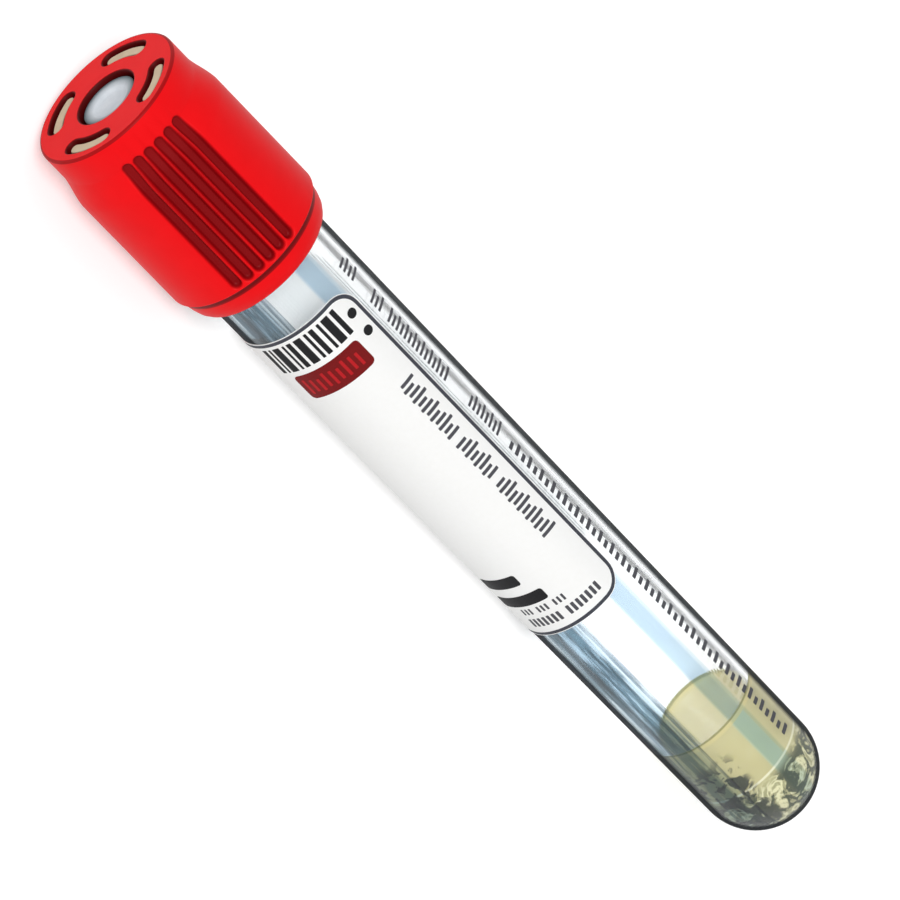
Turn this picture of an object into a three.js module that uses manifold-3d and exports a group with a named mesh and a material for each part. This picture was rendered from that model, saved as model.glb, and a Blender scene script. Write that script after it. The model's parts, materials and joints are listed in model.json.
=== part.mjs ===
// Capped blood collection tube: a clear, round-bottomed tube with a moulded pull-off closure,
// a wrapped label and a plug of separator gel, lying on its side.
//
// Units are millimetres. Every piece is made upright on one axis, Z, with the tip of the round
// bottom at zero and the closure on top. The whole is then laid down with +Z up, its closure
// towards -X and its grip panel and label towards -Y, and it rests on the closure's widest edge
// and on the round bottom. Turned pieces have flat facets, wide enough that it doesn't roll, and
// their radii are measured to the middle of a facet.

import * as THREE from "three";
import { mergeVertices } from "three/addons/utils/BufferGeometryUtils.js";
import Module from "manifold-3d";

// ---- driving dimensions ----

const tube = {
  length: 99, // tip to lip
  mouthRadius: 6.5, // outside, at the lip
  draft: 0.45, // how much less the outside radius is where the round bottom begins
  wall: 1.0,
  lipBevel: 0.25,
};

const plug = {
  length: 8.4, // below the flange
  relief: 0.35, // between the plug and the bore, away from the sealing ribs
  ribDepths: [2.2, 5.0], // from the lip down to the middle of each sealing rib
  ribHeight: 1.3,
  ribClearance: 0.06, // sealing rib to bore
  noseHeight: 1.2,
  noseTaper: 0.7,
  hollowRadius: 3.0,
  hollowDepth: 5.2,
};

const flange = {
  overhang: 0.4, // beyond the tube's lip, which is what the cap holds
  thickness: 2.2,
  edgeRound: 0.4,
};

const target = {
  radius: 2.9, // rubber seen in the cap's centre hole
  recess: 0.45, // below the cap's top
  dishRadius: 2.2,
  dishFloorRadius: 1.5,
  dishDepth: 0.4,
};

const cap = {
  height: 22.2,
  web: 2.3, // thickness of its top
  skirtWall: 1.63, // at the barrel
  rimWall: 0.6, // at the open end
  shoulderDepths: [3.1, 6.3], // below the top: where the flare begins and ends
  neckInset: 0.62, // how much less the radius is above the flare
  topBevel: 0.3,
  bevelHeight: 2.6, // the bevelled band above the open end
  ledge: 0.25, // the step between the barrel and that band
  boreDraft: 0.1,
};

const slots = {
  count: 4,
  width: 1.7,
  inset: 1.1, // from the flange's edge in to the slots' centre line
  halfAngle: 18, // degrees, from the middle to the centre of each round end
  lugRecess: 0.3, // lugs below the cap's top
};

const grip = {
  panels: 2,
  grooves: 6, // in each panel
  pitch: 9.375, // degrees
  width: 0.84,
  depth: 0.6,
  neckDepth: 0.3, // above the flare, where the wall is thinner
  topMargin: 2.9, // below the cap's top
  bottomMargin: 0.15, // above the ledge
};

const label = {
  width: 29, // round the tube
  height: 42.6,
  corner: 2.4,
  thickness: 0.1,
  belowCap: 5.0,
  edgePastPanel: 33.5, // degrees, from the grip panel's middle to the label's right-hand edge
  columns: 58, // flat strips that it bends into
};

const gel = {
  height: 14.6, // tip to the middle of its surface
  meniscus: 0.45,
};

// ---- clearances ----

const seatGap = 0.1; // face to face, along the axis
const holdGap = 0.15; // flange to the cap's pocket, all round
const skirtGap = 0.2; // cap's skirt to the tube, at the lip
const slotGap = 0.3; // lugs and target to the cap
const filmGap = 0.06; // label to the tube, and gel to the wall

// ---- finish of the turned pieces ----

const facets = 24; // alike on all of them, so that their flats face the same way
const ringAngle = 10; // degrees between the rings of a round bottom
const roundSteps = 3; // in each rounded edge
const panelTurn = 140; // degrees from the side that rests on the table to the grip panel's middle

// ---- sizes that follow ----

const radians = THREE.MathUtils.degToRad;
const toCorners = 1 / Math.cos(Math.PI / facets); // from a facet's middle out to its edges
const baseRadius = tube.mouthRadius - tube.draft;
const flangeRadius = tube.mouthRadius + flange.overhang;
const flangeBottom = tube.length + seatGap;
const flangeTop = flangeBottom + flange.thickness;
const capTop = flangeTop + seatGap + cap.web;
const capRim = capTop - cap.height;
const ledgeHeight = capRim + cap.bevelHeight;
const boreRadius = tube.mouthRadius + skirtGap;
const barrelRadius = boreRadius + cap.skirtWall;
const neckRadius = barrelRadius - cap.neckInset;
const [flareTop, flareBottom] = cap.shoulderDepths.map((depth) => capTop - depth);
const slotRadius = flangeRadius - slots.inset;

/** The tube's outside radius at a height above its round bottom. */
function outsideAt(height) {
  return baseRadius + (tube.draft * (height - baseRadius)) / (tube.length - baseRadius);
}

/** The radius of the tube's bore at such a height. */
function boreAt(height) {
  return outsideAt(height) - tube.wall;
}

// ---- helpers ----

const wasm = await Module();
wasm.setup();

/** A closed geometry as a solid that can be joined and cut. */
function solid(geometry) {
  for (const name of Object.keys(geometry.attributes)) {
    if (name !== "position") geometry.deleteAttribute(name);
  }
  const merged = mergeVertices(geometry);
  const corners = merged.index.array;
  const triangles = [];
  for (let i = 0; i < corners.length; i += 3) {
    const [a, b, c] = corners.slice(i, i + 3);
    const flat = a === b || b === c || c === a;
    if (!flat) triangles.push(a, b, c);
  }
  return new wasm.Manifold(
    new wasm.Mesh({
      numProp: 3,
      vertProperties: merged.attributes.position.array,
      triVerts: new Uint32Array(triangles),
    }),
  );
}

/** A solid as a named mesh of the scene. */
function piece(name, body, finish) {
  const { vertProperties, triVerts } = body.getMesh();
  const geometry = new THREE.BufferGeometry();
  geometry.setAttribute("position", new THREE.BufferAttribute(vertProperties, 3));
  geometry.setIndex(new THREE.BufferAttribute(triVerts, 1));
  geometry.computeVertexNormals();
  const mesh = new THREE.Mesh(geometry, new THREE.MeshStandardMaterial(finish));
  mesh.name = name;
  return mesh;
}

/** A solid turned about Z from [radius, height] points, with a flat facing -Y. An outline that
 * doesn't start on the axis is closed on itself. */
function turned(outline) {
  const closed = outline[0][0] > 0 ? [...outline, outline[0]] : outline;
  const points = closed.map(([radius, height]) => new THREE.Vector2(radius * toCorners, height));
  const halfFacet = Math.PI / facets;
  return solid(new THREE.LatheGeometry(points, facets, halfFacet).rotateX(Math.PI / 2));
}

/** Points of an arc in the outline's plane, angles in degrees from the outward direction. */
function arc(centreRadius, centreHeight, radius, from, to, steps) {
  return Array.from({ length: steps + 1 }, (_, i) => {
    const angle = radians(from + ((to - from) * i) / steps);
    return [centreRadius + radius * Math.cos(angle), centreHeight + radius * Math.sin(angle)];
  });
}

/** The rings of a round bottom, from its tip up to where it meets the side. */
function roundBottom(radius) {
  const [, ...rings] = arc(0, baseRadius, radius, -90, 0, 90 / ringAngle);
  return [[0, baseRadius - radius], ...rings];
}

/** Prisms of a curved slot's form, one in each quarter, between two heights. */
function curvedSlots(width, bottom, top) {
  const end = slots.halfAngle;
  let all = null;
  for (let i = 0; i < slots.count; i += 1) {
    const middle = panelTurn - 90 + (360 * (i + 0.5)) / slots.count;
    const [from, to] = [radians(middle - end), radians(middle + end)];
    const half = width / 2;
    const roundEnd = (angle) => [slotRadius * Math.cos(angle), slotRadius * Math.sin(angle)];
    const outline = new THREE.Shape();
    outline.absarc(0, 0, slotRadius + half, from, to, false);
    outline.absarc(...roundEnd(to), half, to, to + Math.PI, false);
    outline.absarc(0, 0, slotRadius - half, to, from, true);
    outline.absarc(...roundEnd(from), half, from + Math.PI, from + 2 * Math.PI, false);
    const prism = new THREE.ExtrudeGeometry(outline, {
      depth: top - bottom,
      bevelEnabled: false,
      curveSegments: roundSteps,
    });
    const body = solid(prism.translate(0, 0, bottom));
    all = all ? all.add(body) : body;
  }
  return all;
}

// ---- tube ----

/** One moulding: round bottom, drafted side, and a lip bevelled at both edges. */
function makeTube() {
  const top = tube.length;
  const bevel = tube.lipBevel;
  return turned([
    ...roundBottom(baseRadius),
    [outsideAt(top - bevel), top - bevel],
    [outsideAt(top) - bevel, top],
    [boreAt(top) + bevel, top],
    [boreAt(top - bevel), top - bevel],
    ...roundBottom(baseRadius - tube.wall).reverse(),
  ]);
}

// ---- separator gel ----

/** Fills the round bottom and climbs the wall a little at the edge of its surface. */
function makeGel() {
  const edge = gel.height + gel.meniscus;
  const radius = boreAt(edge) - filmGap;
  const surface = [
    [radius, edge],
    [radius - gel.meniscus, gel.height + gel.meniscus / 4],
    [radius - 2 * gel.meniscus, gel.height],
    [0, gel.height],
  ];
  return turned([...roundBottom(baseRadius - tube.wall - filmGap), ...surface]);
}

// ---- stopper ----

/** The plug's side from the nose up: each sealing rib stands out to meet the bore. */
function plugSide() {
  const ribs = [...plug.ribDepths].reverse().flatMap((depth) => {
    const middle = tube.length - depth;
    const [low, high] = [middle - plug.ribHeight / 2, middle + plug.ribHeight / 2];
    const crest = boreAt(low) - plug.ribClearance;
    return [
      [boreAt(low) - plug.relief, low],
      [crest, middle - plug.ribHeight / 6],
      [crest, middle + plug.ribHeight / 6],
      [boreAt(high) - plug.relief, high],
    ];
  });
  return [...ribs, [boreAt(flangeBottom) - plug.relief, flangeBottom]];
}

/** Rubber: hollow ribbed plug, flange, needle target and the lugs that key it into the cap. */
function makeStopper() {
  const plugBottom = flangeBottom - plug.length;
  const noseTop = plugBottom + plug.noseHeight;
  const noseRadius = boreAt(noseTop) - plug.relief;
  const targetTop = capTop - target.recess;
  const round = flange.edgeRound;
  const ceiling = plugBottom + plug.hollowDepth - plug.hollowRadius;
  const hollow = arc(0, ceiling, plug.hollowRadius, 90, 0, 2 * roundSteps).slice(1);
  const body = turned([
    [0, ceiling + plug.hollowRadius],
    ...hollow,
    [plug.hollowRadius, plugBottom],
    [noseRadius - plug.noseTaper, plugBottom],
    [noseRadius, noseTop],
    ...plugSide(),
    ...arc(flangeRadius - round, flangeBottom + round, round, -90, 0, roundSteps),
    ...arc(flangeRadius - round, flangeTop - round, round, 0, 90, roundSteps),
    [target.radius, flangeTop],
    [target.radius, targetTop],
    [target.dishRadius, targetTop],
    [target.dishFloorRadius, targetTop - target.dishDepth],
    [0, targetTop - target.dishDepth],
  ]);
  const sunk = flange.thickness / 2;
  const lugs = curvedSlots(slots.width - 2 * slotGap, flangeTop - sunk, capTop - slots.lugRecess);
  return body.add(lugs);
}

// ---- cap ----

/** Cutters for the grooves of every grip panel, round at both ends, down to a floor that follows
 * the flare. */
function gripGrooves() {
  const low = ledgeHeight + grip.bottomMargin;
  const high = capTop - grip.topMargin;
  const floor = turned([
    [0, capRim],
    [barrelRadius - grip.depth, capRim],
    [barrelRadius - grip.depth, flareBottom],
    [neckRadius - grip.neckDepth, flareTop],
    [neckRadius - grip.neckDepth, capTop],
    [0, capTop],
  ]);
  const half = grip.width / 2;
  const outline = new THREE.Shape();
  outline.absarc(0, high - half, half, 0, Math.PI, false);
  outline.absarc(0, low + half, half, Math.PI, 2 * Math.PI, false);
  let all = null;
  for (let panel = 0; panel < grip.panels; panel += 1) {
    const middle = panelTurn + (360 * panel) / grip.panels;
    for (let i = 0; i < grip.grooves; i += 1) {
      const turn = middle + (i - (grip.grooves - 1) / 2) * grip.pitch;
      const groove = new THREE.ExtrudeGeometry(outline, {
        depth: barrelRadius,
        bevelEnabled: false,
        curveSegments: roundSteps,
      });
      groove.translate(0, 0, neckRadius / 2).rotateX(Math.PI / 2).rotateZ(radians(turn));
      const cutter = solid(groove);
      all = all ? all.add(cutter) : cutter;
    }
  }
  return all.subtract(floor);
}

/** Polyethylene: drilled and slotted top, flared barrel, bevelled rim, and the flange's pocket. */
function makeCap() {
  const webBottom = capTop - cap.web;
  const pocketRadius = flangeRadius + holdGap;
  const rimBore = boreRadius + cap.boreDraft;
  const holeRadius = target.radius + slotGap;
  const shell = turned([
    [rimBore, capRim],
    [rimBore + cap.rimWall, capRim],
    [barrelRadius - cap.ledge, ledgeHeight],
    [barrelRadius, ledgeHeight],
    [barrelRadius, flareBottom],
    [neckRadius, flareTop],
    [neckRadius, capTop - cap.topBevel],
    [neckRadius - cap.topBevel, capTop],
    [holeRadius, capTop],
    [holeRadius, webBottom],
    [pocketRadius, webBottom],
    [pocketRadius, tube.length],
    [boreRadius, tube.length],
  ]);
  const openSlots = curvedSlots(slots.width, webBottom - seatGap, capTop + seatGap);
  return shell.subtract(openSlots).subtract(gripGrooves());
}

// ---- label ----

/** A flat film with round corners, bent strip by strip round the drafted side of the tube. */
function makeLabel() {
  const { width, height, corner, thickness, columns } = label;
  const top = capRim - label.belowCap;
  const middle = top - height / 2;
  const film = new THREE.BoxGeometry(width, height, thickness, columns, 1, 1);
  const at = film.attributes.position;
  const rightEdge = radians(panelTurn + label.edgePastPanel - 90);
  const meanRadius = outsideAt(middle) * toCorners + filmGap;
  for (let i = 0; i < at.count; i += 1) {
    const fromEnd = Math.min(width / 2 - Math.abs(at.getX(i)), corner);
    const cut = corner - Math.sqrt(corner ** 2 - (corner - fromEnd) ** 2);
    const z = middle + at.getY(i) * (1 - (2 * cut) / height);
    const turn = rightEdge - (width / 2 - at.getX(i)) / meanRadius;
    const radius = outsideAt(z) * toCorners + filmGap + thickness / 2 + at.getZ(i);
    at.setXYZ(i, radius * Math.cos(turn), radius * Math.sin(turn), z);
  }
  return solid(film);
}

// ---- the whole, upright and then laid down ----

const clear = { color: 0xe8f1f5, roughness: 0.05, metalness: 0, transparent: true, opacity: 0.35 };

const upright = new THREE.Group();
upright.add(
  piece("tube", makeTube(), clear),
  piece("separator_gel", makeGel(), { color: 0xdccf8c, roughness: 0.3, metalness: 0 }),
  piece("stopper", makeStopper(), { color: 0xc4bdb2, roughness: 0.75, metalness: 0 }),
  piece("cap", makeCap(), { color: 0xe5141d, roughness: 0.35, metalness: 0 }),
  piece("label", makeLabel(), { color: 0xfafaf7, roughness: 0.6, metalness: 0 }),
);

// Its lowest points are the barrel's edge above the rim and the ring where the round bottom ends.
const tilt = Math.atan2(barrelRadius - baseRadius, ledgeHeight - baseRadius);
const toClosure = new THREE.Vector3(-Math.cos(tilt), 0, Math.sin(tilt));
const toFront = new THREE.Vector3(0, -1, 0);
const toTop = new THREE.Vector3().crossVectors(toClosure, toFront);
const laid = new THREE.Matrix4().makeBasis(toFront, toTop, toClosure);
upright.quaternion.setFromRotationMatrix(laid);

// The frame's origin is on the table, under the middle of the outer box.
const object = new THREE.Group();
object.add(upright);
const outer = new THREE.Box3().setFromObject(object, true);
const centre = outer.getCenter(new THREE.Vector3());
upright.position.set(-centre.x, -centre.y, -outer.min.z);

export default object;
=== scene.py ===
import json
import math

import bmesh
import bpy
from mathutils import Matrix, Vector


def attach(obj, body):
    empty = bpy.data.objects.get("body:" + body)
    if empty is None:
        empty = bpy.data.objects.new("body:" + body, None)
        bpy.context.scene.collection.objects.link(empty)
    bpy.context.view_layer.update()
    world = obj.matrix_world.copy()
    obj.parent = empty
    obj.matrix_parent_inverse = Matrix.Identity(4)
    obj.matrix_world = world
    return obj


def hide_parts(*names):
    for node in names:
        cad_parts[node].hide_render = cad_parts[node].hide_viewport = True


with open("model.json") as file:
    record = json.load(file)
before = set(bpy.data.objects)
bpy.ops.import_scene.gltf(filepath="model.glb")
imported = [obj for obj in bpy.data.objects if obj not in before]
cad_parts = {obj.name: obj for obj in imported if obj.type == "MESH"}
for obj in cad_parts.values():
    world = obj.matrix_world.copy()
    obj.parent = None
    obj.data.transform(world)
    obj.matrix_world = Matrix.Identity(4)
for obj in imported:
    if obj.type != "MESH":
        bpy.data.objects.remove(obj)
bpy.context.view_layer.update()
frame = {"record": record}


# ---- how the tube lies ----
# The closed tube rests on its cap's widest edge and on its own round bottom, so its axis rises a
# little towards the cap. Every piece is made upright in millimetres, with the tip of the round
# bottom at zero and the cap on top, and is laid down last.

MM = 0.001
FRONT_TURN = math.radians(50)  # from the upright X axis round to the middle of the grip panel
TARGET_HEIGHT = 102.85  # up the axis from the tip to the needle target in the rubber

needle_target = next(m for m in frame["record"]["mounts"] if m["name"] == "needle_target")
to_cap = Vector(needle_target["axis"]).normalized()
to_side = Vector((0, -1, 0))
to_top = to_cap.cross(to_side)
tip = Vector(needle_target["pos_m"]) - to_cap * TARGET_HEIGHT * MM
laid_turn = Matrix((to_side, to_top, to_cap)).transposed()
laid = Matrix.Translation(tip) @ laid_turn.to_4x4() @ Matrix.Scale(MM, 4)

panel_front = laid_turn @ Vector((math.cos(FRONT_TURN), math.sin(FRONT_TURN), 0))


# ---- camera ----
# A long lens looks down at the grip panel and the label, from nearer the cap's end, so that the
# cap's drilled top shows. The tube runs from the upper left to the lower right.

CAMERA_DISTANCE = 0.9  # metres
CAMERA_LENS = 391
CAMERA_NEAR, CAMERA_FAR = 0.01, 50
CAMERA_TO_CAP = math.radians(28.6)  # from square on to the panel round towards the cap's top
CAMERA_ROLL = math.radians(134.15)  # from the view's right-hand direction to the cap's end
AIM_HEIGHT = 53.35  # up the axis from the tip
AIM_ASIDE = 0.1  # from the axis, towards the tube's bare strip

to_camera = panel_front * math.cos(CAMERA_TO_CAP) + to_cap * math.sin(CAMERA_TO_CAP)
cap_in_view = (to_cap - to_camera * to_cap.dot(to_camera)).normalized()
across_view = to_camera.cross(cap_in_view)
view_right = cap_in_view * math.cos(CAMERA_ROLL) - across_view * math.sin(CAMERA_ROLL)
view_up = cap_in_view * math.sin(CAMERA_ROLL) + across_view * math.cos(CAMERA_ROLL)
aim = tip + (to_cap * AIM_HEIGHT - across_view * AIM_ASIDE) * MM

camera = bpy.data.objects.new("camera", bpy.data.cameras.new("camera"))
bpy.context.scene.collection.objects.link(camera)
camera.data.lens = CAMERA_LENS
camera.data.clip_start = CAMERA_NEAR
camera.data.clip_end = CAMERA_FAR
camera_turn = Matrix((view_right, view_up, to_camera)).transposed().to_4x4()
camera.matrix_world = Matrix.Translation(aim + to_camera * CAMERA_DISTANCE) @ camera_turn
bpy.context.scene.camera = camera
bpy.context.scene.view_settings.view_transform = "Standard"


# ---- table and light ----
# A plain white table top under one large soft lamp and an even sky. Seen directly, in gloss or
# through clear plastic, the sky is white and the table is lifted to white with its shadow kept.

TABLE_REACH = 4  # metres each way from its middle
TABLE_COLOUR = "#E6E6E6"
TABLE_GRAIN = 900  # noise cells across the whole table
TABLE_LIFT = 0.36  # the light added where the table is seen, which brings it to white
SKY_LEVEL = 0.5
LAMP_LEVEL = 2.12
LAMP_SPREAD = math.radians(24)
LAMP_FROM = Vector((-0.50, -0.66, 1.0))


def colour(code):
    """A hex sRGB colour as the linear one that shaders take."""
    parts = [int(code[i : i + 2], 16) / 255 for i in (1, 3, 5)]
    linear = [p / 12.92 if p <= 0.04045 else ((p + 0.055) / 1.055) ** 2.4 for p in parts]
    return (*linear, 1)


def node(tree, kind, sockets, **settings):
    """Adds a node. Settings are its own properties; a socket takes a value or another's output."""
    made = tree.nodes.new(kind)
    for name, value in settings.items():
        setattr(made, name, value)
    for key, value in sockets.items():
        if isinstance(value, bpy.types.NodeSocket):
            tree.links.new(value, made.inputs[key])
        else:
            made.inputs[key].default_value = value
    return made


def bare_tree(owner):
    """The emptied node tree of a material or a world."""
    owner.use_nodes = True
    owner.node_tree.nodes.clear()
    return owner.node_tree


def seen_directly(tree):
    """One for rays from the camera, off gloss and through clear plastic, and zero for light."""
    path = node(tree, "ShaderNodeLightPath", {}).outputs
    seen = path["Is Camera Ray"]
    for kind in ("Is Glossy Ray", "Is Transmission Ray"):
        either = {0: seen, 1: path[kind]}
        seen = node(tree, "ShaderNodeMath", either, operation="MAXIMUM").outputs[0]
    return seen


# Matt white laminate: even and bright, with a grain too faint to see.
table_material = bpy.data.materials.new("white_table_top")
tree = bare_tree(table_material)
grain = node(tree, "ShaderNodeTexNoise", {"Scale": TABLE_GRAIN, "Detail": 3})
grain_bump = node(tree, "ShaderNodeBump", {"Height": grain.outputs[0], "Strength": 0.02})
top = {"Color": colour(TABLE_COLOUR), "Normal": grain_bump.outputs[0]}
diffuse = node(tree, "ShaderNodeBsdfDiffuse", top)
lift = node(tree, "ShaderNodeMath", {0: seen_directly(tree), 1: TABLE_LIFT}, operation="MULTIPLY")
glow = node(tree, "ShaderNodeEmission", {"Strength": lift.outputs[0]})
both = node(tree, "ShaderNodeAddShader", {0: diffuse.outputs[0], 1: glow.outputs[0]})
node(tree, "ShaderNodeOutputMaterial", {"Surface": both.outputs[0]})

bm = bmesh.new()
bmesh.ops.create_grid(bm, x_segments=1, y_segments=1, size=TABLE_REACH)
table_mesh = bpy.data.meshes.new("table_top")
bm.to_mesh(table_mesh)
bm.free()
table_mesh.materials.append(table_material)
table_top = bpy.data.objects.new("table_top", table_mesh)
bpy.context.scene.collection.objects.link(table_top)

sky = bpy.data.worlds.new("sky")
bpy.context.scene.world = sky
tree = bare_tree(sky)
levels = {0: seen_directly(tree), 2: SKY_LEVEL, 3: 1.0}
strength = node(tree, "ShaderNodeMix", levels, data_type="FLOAT")
white_light = {"Color": colour("#FFFFFF"), "Strength": strength.outputs[0]}
light = node(tree, "ShaderNodeBackground", white_light)
node(tree, "ShaderNodeOutputWorld", {"Surface": light.outputs[0]})

lamp = bpy.data.objects.new("soft_lamp", bpy.data.lights.new("soft_lamp", "SUN"))
lamp.data.energy = LAMP_LEVEL
lamp.data.angle = LAMP_SPREAD
lamp.rotation_mode = "QUATERNION"
lamp.rotation_quaternion = LAMP_FROM.to_track_quat("Z", "Y")
bpy.context.scene.collection.objects.link(lamp)


# ---- tube ----
# The real one is injection moulded in one piece from clear PET, with a round bottom, a lip rounded
# on both edges, and a slight draft that lets it leave its core. It holds the vacuum.

TUBE_LENGTH = 99
LIP_RADIUS = 6.5
BASE_RADIUS = 6.05
TUBE_WALL = 1.0
LIP_ROUND = 0.25
SIDE_ROWS = range(12, 99, 12)  # heights of the rings up the straight side
TURNED_STEPS = 128
BASE_STEPS = 24
WELD = 0.0005  # how near two points lie that are merged

PET_TINT = (0.70, 0.86, 0.94, 1)
PET_DENSITY = 60  # of the tint, to the metre
FLOW_SCALE = (1.1, 1.1, 0.05)  # noise cells to the millimetre, drawn out along the tube
STREAK_SCALE = (1.6, 1.6, 0.14)
STREAK_EDGE = (0.44, 0.62)  # levels of the noise at which a streak is dark and pale
WALL_LINE_FROM = 0.49  # how square on the wall is seen where its dark line begins
WALL_LINE_TO = 0.345
WALL_LINE_DARK = 0.95

# Bands of painted light: from, to and fade, in degrees round from the grip panel's middle. In turn
# they are a streaky band of painted shade, a pale band of painted glints, a thin streaky line of
# painted shade, and a pale blue band of painted reflection, which crosses the gel too.
PAINTED_SHADE_BAND = (-74, -31, 2)
PAINTED_GLINT_BAND = (-31, -27, 1)
PAINTED_SHADE_LINE = (-26.7, -23.7, 0.6)
PAINTED_REFLECTION_BAND = (12, 31, 1.5)


def tube_radius(height):
    """The tube's outside radius at a height on its straight side."""
    along = (height - BASE_RADIUS) / (TUBE_LENGTH - BASE_RADIUS)
    return BASE_RADIUS + (LIP_RADIUS - BASE_RADIUS) * along


def arc(radius, height, bend, start, end, steps):
    """Outline points round a centre. The angles are in degrees: 0 is outwards and 90 is upwards."""
    angles = [math.radians(start + (end - start) * i / steps) for i in range(steps + 1)]
    return [(radius + bend * math.cos(a), height + bend * math.sin(a)) for a in angles]


def turned(outline, steps):
    """A new mesh turned about the upright axis from an outline of (radius, height) points."""
    made = bmesh.new()
    chain = [made.verts.new((radius, 0, height)) for radius, height in outline]
    for a, b in zip(chain, chain[1:]):
        made.edges.new((a, b))
    whole = made.verts[:] + made.edges[:]
    around = {"cent": (0, 0, 0), "axis": (0, 0, 1), "angle": 2 * math.pi}
    bmesh.ops.spin(made, geom=whole, steps=steps, use_merge=True, **around)
    bmesh.ops.remove_doubles(made, verts=made.verts, dist=WELD)
    return made


def piece(made, name, materials, body, cad_node=None):
    """Lays a finished upright mesh down as a named piece that rides on a CAD body."""
    bmesh.ops.recalc_face_normals(made, faces=made.faces)
    bmesh.ops.transform(made, matrix=laid, verts=made.verts)
    mesh = bpy.data.meshes.new(name)
    made.to_mesh(mesh)
    made.free()
    for material in materials:
        mesh.materials.append(material)
    thing = bpy.data.objects.new(name, mesh)
    bpy.context.scene.collection.objects.link(thing)
    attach(thing, body)
    if cad_node:
        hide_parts(cad_node)


def upright(tree):
    """Coordinates in millimetres in the upright tube's own frame, from the laid-down piece's.

    The scale of a noise that reads them is its cells to the millimetre.
    """
    stand = laid_turn.transposed()
    place = stand @ tip / -MM
    settings = {"Location": place, "Rotation": stand.to_euler(), "Scale": (1 / MM,) * 3}
    seat = node(tree, "ShaderNodeTexCoord", {}).outputs["Object"]
    return node(tree, "ShaderNodeMapping", {"Vector": seat, **settings}).outputs[0]


def from_panel(tree, where):
    """Degrees round the tube from the grip panel's middle, towards the label's right-hand edge."""
    parts = node(tree, "ShaderNodeSeparateXYZ", {0: where}).outputs
    around = node(tree, "ShaderNodeMath", {0: parts[1], 1: parts[0]}, operation="ARCTAN2")
    turn = node(tree, "ShaderNodeMath", {0: around.outputs[0], 1: FRONT_TURN}, operation="SUBTRACT")
    return node(tree, "ShaderNodeMath", {0: turn.outputs[0]}, operation="DEGREES").outputs[0]


def met_together(tree, *amounts):
    """How far several amounts hold at once, such as a height and a side."""
    met = amounts[0]
    for amount in amounts[1:]:
        met = node(tree, "ShaderNodeMath", {0: met, 1: amount}, operation="MULTIPLY").outputs[0]
    return met


def faded(tree, value, low, high, soft):
    """One where a value lies between two limits, fading to nought over a soft edge."""
    ends = []
    for start, stop in [(low - soft, low + soft), (high + soft, high - soft)]:
        limits = {0: value, 1: start, 2: stop}
        ramp = node(tree, "ShaderNodeMapRange", limits, interpolation_type="SMOOTHSTEP")
        ends.append(ramp.outputs[0])
    return met_together(tree, *ends)


def painted(tree, ground, coats):
    """A colour with others over it in turn, each by an amount. A colour is a code or an output."""
    for amount, coat in coats:
        under, over = [colour(c) if isinstance(c, str) else c for c in (ground, coat)]
        sockets = {0: amount, 6: under, 7: over}
        ground = node(tree, "ShaderNodeMix", sockets, data_type="RGBA").outputs[2]
    return ground


# Clear PET, injection moulded on a polished core: water clear with a faint blue cast in its
# thickness, a hard gloss, and slight flow lines along the tube. Its colour carries painted light: a
# streaky blue-grey band of painted shade, with a pale band of painted glints and a thin streaky
# line of painted shade beside it, and on the other side a pale blue band of painted reflection.
clear_pet = bpy.data.materials.new("moulded_clear_pet")
tree = bare_tree(clear_pet)
where = upright(tree)
turn = from_panel(tree, where)
drawn_out = node(tree, "ShaderNodeMapping", {"Vector": where, "Scale": STREAK_SCALE}).outputs[0]
streaks = node(tree, "ShaderNodeTexNoise", {"Vector": drawn_out, "Scale": 1.0, "Detail": 6})
dark, pale = STREAK_EDGE
sharp = node(
    tree,
    "ShaderNodeMapRange",
    {0: streaks.outputs[0], 1: dark, 2: pale},
    interpolation_type="SMOOTHSTEP",
).outputs[0]
# Streaky colours for the band and the thin line of painted shade.
streaky_shade = painted(tree, "#33505F", [(sharp, "#A9C3D3")])
streaky_shade_line = painted(tree, "#4E5F6C", [(sharp, "#A5B4BF")])
coats = [
    (faded(tree, turn, *PAINTED_SHADE_BAND), streaky_shade),
    (faded(tree, turn, *PAINTED_GLINT_BAND), "#C4D3DC"),
    (faded(tree, turn, *PAINTED_SHADE_LINE), streaky_shade_line),
    (faded(tree, turn, *PAINTED_REFLECTION_BAND), "#C4DAEA"),
]
tinted = painted(tree, "#FFFFFF", coats)
flowed = node(tree, "ShaderNodeMapping", {"Vector": where, "Scale": FLOW_SCALE}).outputs[0]
flow = node(tree, "ShaderNodeTexNoise", {"Vector": flowed}).outputs[0]
flow_bump = node(tree, "ShaderNodeBump", {"Height": flow, "Strength": 0.08, "Distance": 0.05 * MM})
plastic = node(
    tree,
    "ShaderNodeBsdfPrincipled",
    {
        "Base Color": tinted,
        "Roughness": 0.03,
        "IOR": 1.575,
        "Transmission Weight": 1.0,
        "Normal": flow_bump.outputs[0],
    },
)

# A thick clear wall looks dark where it is seen edge on, and that dark line is painted shade here:
# a dark matt shader mixed in. How square on it is seen is divided by how side-on the whole tube is,
# so that the dark line is as thin from every side, and an end-on tube stays clear.
axis = node(tree, "ShaderNodeCombineXYZ", {0: to_cap.x, 1: to_cap.y, 2: to_cap.z}).outputs[0]
off_axis = node(tree, "ShaderNodeLayerWeight", {"Blend": 0.5, "Normal": axis}).outputs["Facing"]
edge_on = node(tree, "ShaderNodeLayerWeight", {"Blend": 0.5}).outputs["Facing"]
end_on = node(tree, "ShaderNodeMath", {0: 1.0, 1: off_axis}, operation="SUBTRACT").outputs[0]
end_on = node(tree, "ShaderNodeMath", {0: end_on, 1: 2.0}, operation="POWER").outputs[0]
side_on = node(tree, "ShaderNodeMath", {0: 1.0, 1: end_on}, operation="SUBTRACT").outputs[0]
side_on = node(tree, "ShaderNodeMath", {0: side_on}, operation="SQRT").outputs[0]
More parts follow.
